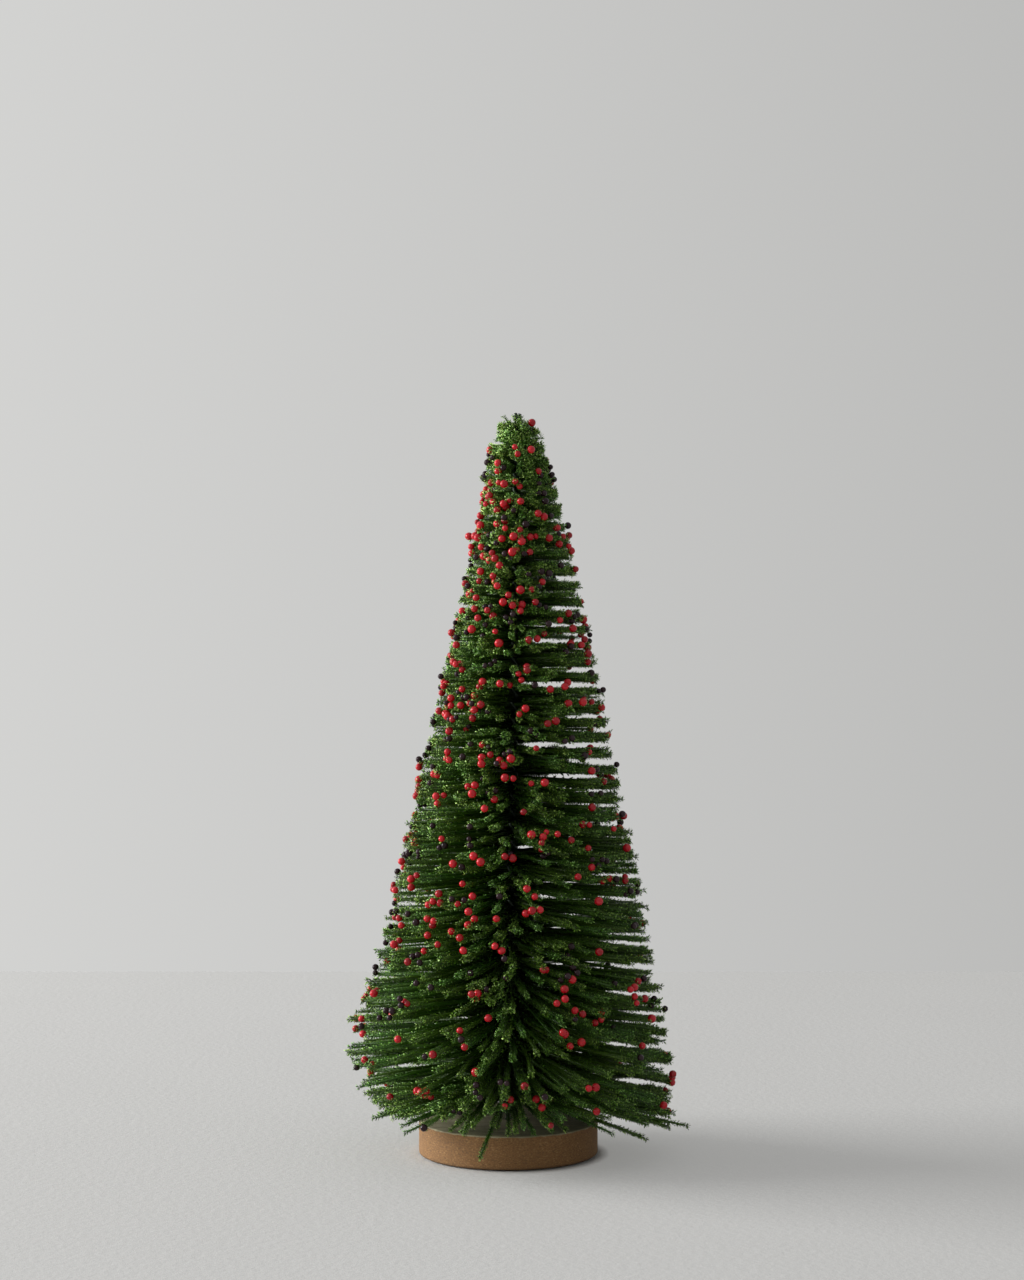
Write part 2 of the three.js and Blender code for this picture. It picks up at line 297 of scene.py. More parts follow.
def fibre_board_material(base):
    """Bare fibre board with flecks on the side, and a thin dull stain on top."""
    material, tree, shader = new_material("fibre_board", roughness=0.82)
    place = object_place(tree)
    height = add_node(tree, "ShaderNodeSeparateXYZ", Vector=place).outputs["Z"]
    # The board's fibres lie flat, so the flecks on its side are wider than they are high
    flat = stretched(tree, place, (1, 1, 1.7))
    clouds = noise(tree, flat, 55, detail=3)
    flecks = noise(tree, flat, 900, detail=3, roughness=0.65)
    flakes = add_node(tree, "ShaderNodeTexVoronoi", Vector=flat, Scale=620.0).outputs["Distance"]
    side = ramp(tree, flecks, [
        (0.36, shaded(base.side_colour, 0.52)),
        (0.47, shaded(base.side_colour, 0.92)),
        (0.56, base.side_colour),
        (0.68, (0.46, 0.27, 0.12)),
    ])
    side = mix(tree, span(tree, flakes, 0.05, 0.30, 0.45, 0), side, shaded(base.side_colour, 0.40))
    side = mix(tree, span(tree, clouds, 0.35, 0.65, 0, 0.35), side, shaded(base.side_colour, 0.72))
    smears = noise(tree, stretched(tree, place, (1, 5, 1)), 60, detail=4)
    top = ramp(tree, smears, [
        (0.34, shaded(base.top_colour, 0.72)),
        (0.52, base.top_colour),
        (0.68, shaded(base.top_colour, 1.30)),
    ])
    top = mix(tree, span(tree, flecks, 0.50, 0.72, 0, 0.35), top, shaded(base.top_colour, 0.55))
    # The stain ends unevenly low on the rounded edge
    uneven = calculate(tree, "MULTIPLY_ADD", noise(tree, place, 300), 1.0 * MM, height)
    stain_foot = BASE_TOP - BASE_EDGE_RADIUS * 0.8
    on_top = span(tree, uneven, stain_foot + 0.35 * MM, stain_foot + 0.75 * MM)
    colour = mix(tree, on_top, side, top)
    # Painted shade darkens the lower edge, where the board meets the pad and the floor
    painted_foot_shade = span(tree, height, PAD_THICKNESS + 0.3 * MM, PAD_THICKNESS + 1.5 * MM, 0.85, 0)
    colour = mix(tree, painted_foot_shade, colour, shaded(base.side_colour, 0.35))
    feed(tree, shader, Base_Color=colour, Roughness=span(tree, flecks, 0.35, 0.65, 0.74, 0.92))
    pits = mix(tree, 0.5, ramp(tree, flecks, [(0.3, (0, 0, 0)), (0.7, (1, 1, 1))]), flakes)
    bump(tree, shader, pits, 0.25 * MM, 0.7)
    return material


def felt_material(base):
    """Dark felt with a short nap."""
    material, tree, shader = new_material("felt_pad", roughness=0.95)
    fibres = noise(tree, object_place(tree), 1400, detail=4, roughness=0.7)
    stops = [(0.35, shaded(base.pad_colour, 0.5)), (0.65, shaded(base.pad_colour, 1.8))]
    feed(tree, shader, Base_Color=ramp(tree, fibres, stops))
    bump(tree, shader, fibres, 0.15 * MM)
    return material


def wire_material(trunk):
    """Dark green lacquer, worn to the steel in specks."""
    material, tree, shader = new_material("lacquered_wire", roughness=0.38, metallic=0.55)
    specks = noise(tree, object_place(tree), 900, detail=3, roughness=0.6)
    colour = ramp(tree, specks, [
        (0.40, shaded(trunk.colour, 0.6)),
        (0.60, trunk.colour),
        (0.74, (0.16, 0.16, 0.15)),
    ])
    feed(tree, shader, Base_Color=colour, Roughness=span(tree, specks, 0.35, 0.70, 0.30, 0.55))
    return material


def bake_map_place(tree):
    """The two numbers that a foliage or berry mesh carries in its map: its painted light and shade, and its
    tint.
    """
    both = add_node(tree, "ShaderNodeUVMap", {"uv_map": BAKE_MAP}).outputs["UV"]
    parts = add_node(tree, "ShaderNodeSeparateXYZ", Vector=both).outputs
    return both, parts["X"], parts["Y"]


def needle_material(foliage):
    """Cut plastic needles. A painted shade runs from a dark root to a lit tip, the tint from stem to stem.
    """
    material, tree, shader = new_material("needles", roughness=0.31)
    both, shade, tint = bake_map_place(tree)
    # Painted shade at the roots deep in the brush, painted light towards the tips, whose cut ends are also
    # lighter
    fresh = ramp(tree, shade, [
        (0.0, foliage.deep_colour),
        (0.30, shaded(foliage.leaf_colour, 0.36)),
        (0.56, foliage.leaf_colour),
        (0.86, foliage.tip_colour),
    ])
    # Some stems are yellower and some bluer
    yellow = mix(tree, 1.0, fresh, (1.0, 0.90, 0.60), "MULTIPLY")
    blue = mix(tree, 1.0, fresh, (0.74, 0.96, 1.0), "MULTIPLY")
    colour = mix(tree, span(tree, tint, 0.45, 0.95, 0, 0.6), fresh, yellow)
    colour = mix(tree, span(tree, tint, 0.55, 0.05, 0, 1), colour, blue)
    mottle = noise(tree, both, 38)
    colour = mix(tree, span(tree, mottle, 0.35, 0.65, 0, 0.30), colour, foliage.deep_colour)
    feed(tree, shader, Base_Color=colour, Specular_IOR_Level=0.32)
    return material


def berry_material(name, colour, painted_top_sheen, roughness, gloss):
    """Satin lacquer. The tint differs from berry to berry, and a thin painted sheen lightens the upper side.
    """
    material, tree, shader = new_material(name, roughness)
    both, shade, tint = bake_map_place(tree)
    tone = ramp(tree, tint, [
        (0.0, shaded(colour, 0.50)),
        (0.45, colour),
        (1.0, tuple(min(1, 1.22 * c + 0.012) for c in colour)),
    ])
    mottle = noise(tree, both, 26, detail=3)
    tone = mix(tree, span(tree, mottle, 0.40, 0.66, 0, 0.30), tone, shaded(colour, 0.45))
    # A thin painted sheen, lighter towards the top where the light falls
    tone = mix(tree, span(tree, shade, 0.55, 1.0, 0, 0.06), tone, painted_top_sheen)
    feed(tree, shader, Base_Color=tone, Specular_IOR_Level=gloss)
    return material


# Making pieces


def lean(points, way=1):
    """Points of the upright tree, leaned as the trunk leans in its hole, or with -1 the way back."""
    turn = Matrix.Rotation(TRUNK_LEAN * way, 3, "Y")
    pivot = np.array((0, 0, LEAN_PIVOT))
    return (points - pivot) @ np.array(turn).T + pivot


def place_piece(mesh, material, replaced):
    """Shows a mesh as a piece of the tree that stands for CAD nodes."""
    mesh.materials.append(material)
    piece = bpy.data.objects.new(mesh.name, mesh)
    bpy.context.scene.collection.objects.link(piece)
    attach(piece, BODY)
    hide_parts(*replaced)
    return piece


def finish_mesh(shape, name, soft_angle):
    """Turns a bmesh into a mesh, with soft shading up to an angle between faces."""
    bmesh.ops.recalc_face_normals(shape, faces=shape.faces)
    for face in shape.faces:
        face.smooth = True
    for edge in shape.edges:
        edge.smooth = edge.calc_face_angle(0) < soft_angle
    mesh = bpy.data.meshes.new(name)
    shape.to_mesh(mesh)
    shape.free()
    return mesh


def raise_disc(shape, radius, foot, thickness, segments):
    """A round slab with its underside at a height."""
    ring = bmesh.ops.create_circle(shape, cap_ends=True, segments=segments, radius=radius)["verts"]
    bmesh.ops.translate(shape, verts=ring, vec=(0, 0, foot))
    raised = bmesh.ops.extrude_face_region(shape, geom=shape.faces[:])["geom"]
    top = [item for item in raised if isinstance(item, bmesh.types.BMVert)]
    bmesh.ops.translate(shape, verts=top, vec=(0, 0, thickness))


def shape_corners(shape):
    """The corner points of a small shape and the corners of each of its faces, to copy it from."""
    shape.verts.index_update()
    points = np.array([vert.co for vert in shape.verts])
    corners = np.array([[vert.index for vert in face.verts] for face in shape.faces])
    shape.free()
    return points, corners


def mesh_of_copies(name, points, corners, places):
    """One mesh of many copies of a small shape.

    points holds each copy's corner points, corners the shape's faces, and places each point's place on the
    bake map.
    """
    copies, count = points.shape[:2]
    index = (corners[None] + count * np.arange(copies)[:, None, None]).reshape(-1, corners.shape[1])
    mesh = bpy.data.meshes.new(name)
    mesh.vertices.add(copies * count)
    mesh.vertices.foreach_set("co", points.astype(np.float32).ravel())
    mesh.loops.add(index.size)
    mesh.loops.foreach_set("vertex_index", index.astype(np.int32).ravel())
    mesh.polygons.add(len(index))
    mesh.polygons.foreach_set("loop_start", np.arange(0, index.size, index.shape[1], dtype=np.int32))
    layer = mesh.uv_layers.new(name=BAKE_MAP)
    layer.data.foreach_set("uv", places.reshape(-1, 2)[index.ravel()].astype(np.float32).ravel())
    mesh.update(calc_edges=True)
    return mesh


def joined(parts):
    """Copies of different shapes as one list of points, faces and map places."""
    points, corners, places, first = [], [], [], 0
    for own_points, own_corners, own_places in parts:
        copies, count = own_points.shape[:2]
        shift = first + count * np.arange(copies)[:, None, None]
        corners.append((own_corners[None] + shift).reshape(-1, 3))
        points.append(own_points.reshape(-1, 3))
        places.append(own_places.reshape(-1, 2))
        first += copies * count
    return np.concatenate(points)[None], np.concatenate(corners), np.concatenate(places)[None]


def map_places(shade, tint, margin=0.02):
    """Places on the bake map, clear of its edges."""
    return np.stack([np.clip(value, margin, 1 - margin) for value in (shade, tint)], -1)


# The tree's lay-out, as in the part's source


def turn_at(height):
    """Direction in which the stems of one spiral sheet leave the trunk."""
    return FIRST_TIER_TURN - 2 * math.pi * (height - FOLIAGE_FOOT) / TWIST_LEAD


def crown_share(height):
    return np.clip((height - SHOULDER_HEIGHT) / (FOLIAGE_TOP - SHOULDER_HEIGHT), 0, 1)


def cone_share(height):
    return np.clip((height - FOLIAGE_FOOT) / (SHOULDER_HEIGHT - FOLIAGE_FOOT), 0, 1)


def reach_at(height):
    """Radius of the cut foliage."""
    cone = SKIRT_RADIUS + (SHOULDER_RADIUS - SKIRT_RADIUS) * cone_share(height)
    return cone + (CROWN_RADIUS - cone) * crown_share(height)


def slope_at(height):
    """How steeply the stems rise, less than zero where they droop."""
    return CROWN_RISE * crown_share(height) - SKIRT_DROOP * (1 - cone_share(height)) ** DROOP_POWER


def cad_berries():
    """Centre, radius and name of every berry of the CAD model, by colour."""
    found = {"red": [], "dark": []}
    for name in sorted(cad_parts):
        if name.startswith("berry_"):
            low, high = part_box(name)
            found[name.split("_")[1]].append(((low + high) / 2, max(high - low) / 2, name))
    return found


# How the stems stray and how the foliage was cut
# A pair of lists is a curve: places, mostly shares of the way up the foliage, and the value at each.

# How far they stray round the trunk: anywhere, and more on the left, in front and behind, and near the skirt
SHEET_SPREAD = math.radians(22)
LEFT_SPREAD = math.radians(34)
FRONT_SPREAD = math.radians(22)
SKIRT_SPREAD = math.radians(30)
SKIRT_SPREAD_SHARE = 0.5
# The tiers keep more even on the right and a little on the left. The shares say how much less the stems
# stray up and down there, from the skirt to the top.
CALM_RIGHT = 0.68
CALM_LEFT = 0.25
CALM_POWER = 1.3
CALM_SHARES = ([0.04, 0.12, 0.42, 0.56, 0.8, 1], [0.2, 0.6, 0.6, 1, 1, 0.7])
# The stems in front part to the left and right along a line
PARTING_TURN = math.radians(-87)
PARTING_WIDTH = math.radians(2)
PARTING_REACH = math.radians(14)
PARTING_TOP_SHARE = 0.5
# The cut is a little off the trunk's centre, further out on the right and where the skirt flares, and short
# under the skirt. The right has a share only of that flare and that shortening. A core ends short of the cut
# by the fuzz of its needles.
OFF_CENTRE = 3.5 * MM
OFF_CENTRE_SHARES = ([0, 0.12, 0.3, 0.85, 1], [0, 0.3, 1, 1, 0])
FUZZ = 1 * MM
UNDERSKIRT_TOP = 64 * MM
UNDERSKIRT_SHARE = 0.74
UNDERSKIRT_RIGHT = 0.15
SKIRT_FLARE = ([0.03, 0.06, 0.12, 0.2], [3 * MM, 6 * MM, 4 * MM, 0])
SKIRT_FLARE_RIGHT = 0.35
CROWN_TRIM = ([0.5, 1], [0, 2 * MM])


def spread_at(height, turn):
    """How far the stems stray round the trunk from their sheet: furthest on the left and near the skirt."""
    left = (1 - math.cos(turn)) / 2
    low = max(0, 1 - cone_share(height) / SKIRT_SPREAD_SHARE)
    return SHEET_SPREAD + LEFT_SPREAD * left + FRONT_SPREAD * abs(math.sin(turn)) + SKIRT_SPREAD * low


def unrest(height, turn):
    """How much the stems stray up and down: less on both sides, except in the skirt."""
    across = math.cos(turn)
    calm = CALM_RIGHT * max(0, across) ** CALM_POWER + CALM_LEFT * max(0, -across)
    return 1 - calm * np.interp(cone_share(height), *CALM_SHARES)


def parted(turn, height):
    """A direction, combed away from the parting in front."""
    off = math.remainder(turn - PARTING_TURN, 2 * math.pi)
    if cone_share(height) > PARTING_TOP_SHARE or abs(off) > PARTING_REACH:
        return turn
    wider = PARTING_WIDTH + abs(off) * (1 - PARTING_WIDTH / PARTING_REACH)
    return turn - off + math.copysign(wider, off)


def cut_reach(height, turn):
    """Reach of a stem's core, for its root height and direction."""
    off = OFF_CENTRE * np.interp(cone_share(height), *OFF_CENTRE_SHARES) * math.cos(turn)
    reach = reach_at(height) - FUZZ + off - np.interp(crown_share(height), *CROWN_TRIM)
    left = (1 - math.cos(turn)) / 2
    flare = SKIRT_FLARE_RIGHT + (1 - SKIRT_FLARE_RIGHT) * left
    reach += np.interp(cone_share(height), *SKIRT_FLARE) * flare
    short = max(0, (UNDERSKIRT_TOP - height) / (UNDERSKIRT_TOP - FOLIAGE_FOOT))
    return reach * (1 - (1 - UNDERSKIRT_SHARE) * short * (UNDERSKIRT_RIGHT + (1 - UNDERSKIRT_RIGHT) * left))


# Stems of the two spiral sheets, in bunches like fingers

STEMS_PER_FINGER = [1, 2, 2, 2]
# The sheets end here
CROWN_ROOTS = 396.5 * MM
# Each sheet waves up and down a little as it winds, by a height and a number of waves in one turn, and the
# two wave out of step
SHEET_WAVES = [(0.8 * MM, 2.63), (0.6 * MM, 4.37)]
SHEET_LAG = 0.6
# How a finger differs from its neighbours in lift, droop and reach
TIP_LIFT = 2.0 * MM
FINGER_DROOP = math.radians(1.3)
FINGER_LOSS = 0.03
# How a stem differs from its finger at the root and at the tip, in reach, size and tint
ROOT_STEP = 0.6
ROOT_SPREAD = math.radians(5)
TIP_SPREAD = 1.9 * MM
OWN_LIFT = 0.9 * MM
OWN_REACH = 0.02
OWN_SIZES = (0.82, 1.18)
OWN_TINT = 0.12
# A few stems are cut short, and one in seven strays up or down between the tiers
SHORT_SHARE = 0.03
SHORT_REACHES = (0.75, 0.95)
STRAY_SHARE = 0.15
STRAY_LIFT = 3 * MM


def finger_rows(foliage, random):
    """The stems of the two spiral sheets."""
    finger_rise = TWIST_LEAD / foliage.fingers_per_turn
    rows = []
    for height in np.arange(FOLIAGE_FOOT, CROWN_ROOTS, finger_rise):
        for side in (0, math.pi):
            middle = height + finger_rise * random.uniform(-0.5, 0.5)
            turn = turn_at(middle) + side
            turn += spread_at(middle, turn) * random.uniform(-1, 1)
            rows += finger(middle, parted(turn, middle), side, finger_rise, random)
    return rows


def finger(middle, finger_turn, side, finger_rise, random):
    """The few stems of one finger, from its root height and direction."""
    reach = cut_reach(middle, finger_turn)
    stray = unrest(middle, finger_turn)
    finger_lift = stray * TIP_LIFT * random.uniform(-1, 1)
    for lift, waves in SHEET_WAVES:
        finger_lift += lift * math.sin(2 * math.pi * waves * middle / TWIST_LEAD + side * SHEET_LAG)
    slope = slope_at(middle) + random.normal(0, FINGER_DROOP) * (1 - cone_share(middle)) ** 2
    shorter = 1 - abs(random.normal(0, FINGER_LOSS))
    tint = random.uniform()
    rows = []
    for _ in range(random.choice(STEMS_PER_FINGER)):
        root = middle + finger_rise * random.uniform(-ROOT_STEP, ROOT_STEP)
        tip_turn = finger_turn + random.normal(0, TIP_SPREAD) / reach
        turn = tip_turn + random.normal(0, ROOT_SPREAD)
        own_reach = reach * shorter * (1 + random.normal(0, OWN_REACH))
        if random.uniform() < SHORT_SHARE:
            own_reach *= random.uniform(*SHORT_REACHES)
        rise = own_reach * math.tan(slope) + finger_lift + stray * random.normal(0, OWN_LIFT)
        if random.uniform() < STRAY_SHARE * stray ** 2:
            rise += random.normal(0, STRAY_LIFT)
        size = random.uniform(*OWN_SIZES)
        own_tint = np.clip(tint + random.normal(0, OWN_TINT), 0, 1)
        rows.append((root, turn, tip_turn - turn, own_reach, middle - root + rise, size, own_tint))
    return rows


# Loose stems, and those that close the crown

# Stems that hang loose below the skirt, in front as the photo shows them and a few behind: direction from +X
# in degrees, reach and drop in mm
LOOSE_STEMS = [
    (216, 68, 16), (259, 76, 21), (318, 74, 13), (345, 99.5, 13), (196, 76, 12), (243, 66, 10),
    (251, 58, 8), (264, 56, 9), (270, 62, 11), (276, 54, 7), (282, 63, 11), (290, 66, 9),
    (299, 62, 10), (97, 79, 17), (40, 84, 14), (148, 73, 16),
]
# A thin fringe under the skirt. In a gap on the left it rises, and leaves the board's top in sight.
FRINGE_STEMS = 100
FRINGE_ROOTS = (34 * MM, 40 * MM)
FRINGE_REACH = (60 * MM, 84 * MM)
FRINGE_RISE = (-9 * MM, 4 * MM)
FRINGE_BEND = 0.05
FRINGE_GAP = (math.radians(200), math.radians(246))
# Sprigs that stick out near the top: root height in mm, direction in degrees, reach and rise in mm
TOP_SPRIGS = [(396, 196, 8, 8), (395, 190, 11, 4), (366, 208, 22, 3), (394, 40, 8, 8)]
SPRIG_SIZE = 0.8
# Short stems that stand up round the wires' ends
POST_STEMS = 9
POST_FOOT = 395 * MM
POST_RADIUS = 2.0 * MM
POST_RISE = 9.2 * MM
POST_BEND = 0.4
POST_SIZE = 0.78
# Stems that fill the crown round them, laid in a few rounds, with lower tips the further out they reach
CROWN_STEMS = 26
CROWN_ROUNDS = 5
CROWN_REACH = (3.5 * MM, 10 * MM)
CROWN_STEM_RISE = (2 * MM, 5 * MM)
CROWN_SLOPE = 0.75
CROWN_DROP = (3.5 * MM, 6 * MM)
CROWN_STEM_SIZE = 0.85


def skirt_rows(random):
    """Stems that hang loose below the skirt, and the fringe under it."""
    rows = []
    for degrees, reach, drop in LOOSE_STEMS:
        rows.append((FOLIAGE_FOOT, math.radians(degrees), 0, reach * MM, -drop * MM, 1, random.uniform()))
    for number in range(FRINGE_STEMS):
        turn = 2 * math.pi * (number + random.uniform(-0.5, 0.5)) / FRINGE_STEMS
        limits = (FRINGE_ROOTS, FRINGE_REACH, FRINGE_RISE)
        root, reach, rise = [random.uniform(*pair) for pair in limits]
        reach += OFF_CENTRE * math.cos(turn)
        if FRINGE_GAP[0] < turn < FRINGE_GAP[1]:
            rise = FRINGE_RISE[1]
        rows.append((root, turn, random.normal(0, FRINGE_BEND), reach, rise, 1, random.uniform()))
    return rows


def crown_rows(random):
    """Sprigs near the top, and the stems that close the crown round the wires' ends."""
    rows = []
    for height, degrees, reach, rise in TOP_SPRIGS:
        turn = math.radians(degrees)
        rows.append((height * MM, turn, 0, reach * MM, rise * MM, SPRIG_SIZE, random.uniform()))
    for number in range(POST_STEMS):
        turn = 2 * math.pi * (number + random.uniform(-0.3, 0.3)) / POST_STEMS
        rows.append((POST_FOOT, turn, POST_BEND, POST_RADIUS, POST_RISE, POST_SIZE, random.uniform()))
    for number in range(CROWN_STEMS):
        limits = (CROWN_REACH, CROWN_STEM_RISE, CROWN_DROP)
        reach, rise, drop = [random.uniform(*pair) for pair in limits]
        root = TREE_HEIGHT - drop - CROWN_SLOPE * (reach - CROWN_REACH[0]) - rise
        turn = 2 * math.pi * (number + random.uniform(-0.4, 0.4)) / CROWN_STEMS * CROWN_ROUNDS
        rows.append((root, turn, 0, reach, rise, CROWN_STEM_SIZE, random.uniform()))
    return rows


# All the stems and their course

# A stem bends more and more towards its tip
BEND_POWER = 1.2
# Clear gaps between the tiers on the right, as the photo shows them: height, reach from and to, and opening,
# in mm
TIER_GAPS = [
    (299, 20, 31, 1.0), (290, 15, 26, 0.9), (281, 10, 35, 1.2), (257, 9, 40, 2.1), (240, 36, 44, 1.2),
    (224, 6, 20, 2.2), (207, 29, 43, 1.4), (168, 6, 11, 0.8), (153, 48, 62, 1.2), (116, 57, 66, 1.4),
    (103, 66, 75, 2.6), (88, 57, 77, 1.8), (60, 51, 64, 1.2), (40, 54, 86, 2.4),
]
GAP_CLEARANCE = 1.75 * MM
# A stem ends inside its CAD berry, short of the centre and below it by these shares of the berry's radius
SEAT_SHORT_SHARE = 0.7
SEAT_LOW_SHARE = 0.3


def grow_stems(foliage, random):
    """Every stem's root height, direction, sideways bend, reach, rise, size, tint and free length."""
    rows = finger_rows(foliage, random) + skirt_rows(random) + crown_rows(random)
    names = ("height", "turn", "bend", "reach", "rise", "size", "tint")
    stems = SimpleNamespace(**dict(zip(names, np.array(rows).T)))
    stems.free = np.hypot(stems.reach - CORE_RADIUS, stems.rise)
    return stems


def open_gaps(stems):
    """Moves the stems that cross a gap, in the camera's view, up or down out of it."""
    for height, inner, outer, opening in np.array(TIER_GAPS) * MM:
        clear = opening / 2 + GAP_CLEARANCE
        across = stems.reach * np.cos(stems.turn + stems.bend)
        depth = stems.reach * np.sin(stems.turn + stems.bend)
        share = np.clip((inner + outer) / 2 / np.maximum(across, inner), 0, 1)
        sight = height + (height - EYE_HEIGHT) * depth * share / EYE_DISTANCE
        off = stems.height + stems.rise * share ** BEND_POWER - sight
        crossing = (across > inner) & (abs(off) < clear)
        stems.height += np.where(crossing, np.where(off < 0, -clear, clear) - off, 0)


def chosen(stems, which):
    return SimpleNamespace(**{name: values[which] for name, values in vars(stems).items()})


def stem_points(stems, share):
    """Centre of a stem at a share of its free length. It bends more and more towards its tip."""
    distance = CORE_RADIUS + (stems.reach - CORE_RADIUS) * share
    turn = stems.turn + stems.bend * share
    height = stems.height + stems.rise * np.clip(share, 0, None) ** BEND_POWER
    return np.stack([distance * np.cos(turn), distance * np.sin(turn), height], -1)


def stem_axes(stems, share):
    """Sideways, upward and forward directions of a stem at a share of its free length."""
    step = 0.02
    forward = stem_points(stems, share + step) - stem_points(stems, share - step)
    forward /= np.linalg.norm(forward, axis=-1, keepdims=True)
    side = np.cross((0, 0, 1.0), forward)
    side /= np.linalg.norm(side, axis=-1, keepdims=True)
    return side, np.cross(forward, side), forward


def stem_tips(stems):
    return stem_points(stems, np.ones(len(stems.height)))


def bend_to_berries(stems):
    """Ends the stem nearest to each berry of the CAD model inside that berry."""
    unused = np.ones(len(stems.height), bool)
    for found in cad_berries().values():
        for centre, radius, _ in found:
            centre = lean(np.array([centre]), -1)[0]
            gaps = np.linalg.norm(stem_tips(stems) - centre, axis=1)
            stem = np.argmin(np.where(unused, gaps, 1))
            unused[stem] = False
            turn = math.atan2(centre[1], centre[0])
            stems.turn[stem] += math.remainder(turn - stems.turn[stem] - stems.bend[stem], 2 * math.pi)
            stems.reach[stem] = math.hypot(*centre[:2]) - radius * SEAT_SHORT_SHARE
            stems.rise[stem] = centre[2] - stems.height[stem] - radius * SEAT_LOW_SHARE
            stems.free[stem] = math.hypot(stems.reach[stem] - CORE_RADIUS, stems.rise[stem])


def lay_out_stems(foliage):
    """All the stems, the same each time."""
    stems = grow_stems(foliage, np.random.default_rng(7))
    open_gaps(stems)
    bend_to_berries(stems)
    return stems


# Needles. A depth is measured along a stem from its tip.

# Kinds of tufts: how many needles on what length of stem, how much more they lean, how wide and long they
# are beside the set needle, and how far their roots stand from the stem's middle
STAR = SimpleNamespace(
    needles=10, length=1.1 * MM, more_lean=math.radians(15), width=0.85, growth=1.3, root=0.25 * MM
)
CLOSE = SimpleNamespace(needles=9, length=2.5 * MM, more_lean=0, width=0.95, growth=1.0, root=0.45 * MM)
SPARSE = SimpleNamespace(needles=2, length=5.0 * MM, more_lean=0, width=2.2, growth=1.2, root=0.45 * MM)
# How many shapes each kind comes in, how much tufts differ in size and place, and how much needles differ in
# length, width and lean
TUFT_SHAPES = 5
TUFT_SIZES = (0.9, 1.1)
TUFT_SHIFT = 0.15
NEEDLE_LENGTHS = (0.7, 1.15)
NEEDLE_WIDTHS = (0.8, 1.1)
NEEDLE_LEANS = (0.7, 1.3)
LEAF_TURN = math.radians(137.5)
LEAF_SPREAD = 0.3
NEEDLE_TWIST = math.radians(50)
NEEDLE_TIP_SHARE = 1.05
NEEDLE_CORNERS = 4
# A star of needles ends each stem. Behind it they stand close, down to a depth that depends on the share of
# the way up the foliage, and closer still on the long stems of the skirt. The roots are bare.
STAR_DEPTH = 0.8 * MM
CLOSE_DEPTHS = (
    [0, 0.02, 0.06, 0.15, 0.35, 1],
    [90 * MM, 64 * MM, 32 * MM, 22 * MM, 16 * MM, 13 * MM],
)
CLOSE_STEPS = ([0.08, 0.22], [0.76, 1])
BARE_ROOT = 5 * MM
BARE_ROOT_SHARE = 0.3
# Needles are smaller near the trunk
ROOT_SIZE = 0.7
FULL_SIZE_REACH = 20 * MM
# Painted shade darkens them with depth into the brush, and painted light brightens them near the top
DARK_DEPTH = 20 * MM
DEPTH_LOSS = 0.55
TOP_LIGHT = ([0.5, 0.8, 1], [1, 1.2, 1.5])
# A painted highlight brightens a few needles, as if they caught the light, and most stay dull. Each pair
# is the painted shade of a dull needle and what a bright one adds, at the root and then more at the tip.
BRIGHT_POWER = 2.2
ROOT_SHADE = (0.05, 0.24)
TIP_SHADE = (0.24, 0.86)
# How much of its stem's tint a needle takes, and how much its own tint and its two edges differ
TINT_SHARE = 0.8
NEEDLE_TINT = 0.09
EDGE_TINT = 0.005


def make_tuft(foliage, random, kind):
    """Needles along a short length of upright stem, with each corner's share of the way to its tip."""
    shape = bmesh.new()
    shares = []
    for number in range(kind.needles):
        long = foliage.needle_length * kind.growth * random.uniform(*NEEDLE_LENGTHS)
        half = foliage.needle_width / 2 * kind.width * random.uniform(*NEEDLE_WIDTHS)
        # A flat strip with a slight twist, closed all round
        needle = []
        for height, half_width, twist in ((0, half, 0), (long, half * NEEDLE_TIP_SHARE, NEEDLE_TWIST)):
            for end in (-1, 1):
                place = (end * half_width * math.cos(twist), end * half_width * math.sin(twist), height)
                needle.append(shape.verts.new(place))
        bmesh.ops.convex_hull(shape, input=needle)
        steps = [
            Matrix.Rotation(random.uniform(0, math.pi), 4, "Z"),
            Matrix.Rotation(-(foliage.needle_lean + kind.more_lean) * random.uniform(*NEEDLE_LEANS), 4, "X"),
            Matrix.Translation((0, kind.root, (number + random.uniform(0, 1)) * kind.length / kind.needles)),
            Matrix.Rotation(number * LEAF_TURN + random.uniform(-LEAF_SPREAD, LEAF_SPREAD), 4, "Z"),
        ]
        for step in steps:
            bmesh.ops.transform(shape, matrix=step, verts=needle)
        shares += [0, 0, 1, 1]
    bmesh.ops.triangulate(shape, faces=shape.faces)
    return *shape_corners(shape), np.array(shares, float)


def places_along(first, last, step, random):
    """Stem number and depth of places a step apart, between two depths from every stem's tip."""
    count = math.ceil(SKIRT_RADIUS / step.min())
    shift = random.uniform(-TUFT_SHIFT, TUFT_SHIFT, (len(first), 1))
    grid = first[:, None] + step[:, None] * (np.arange(count) + shift)
    stem, number = np.nonzero(grid < last[:, None])
    return stem, grid[stem, number]


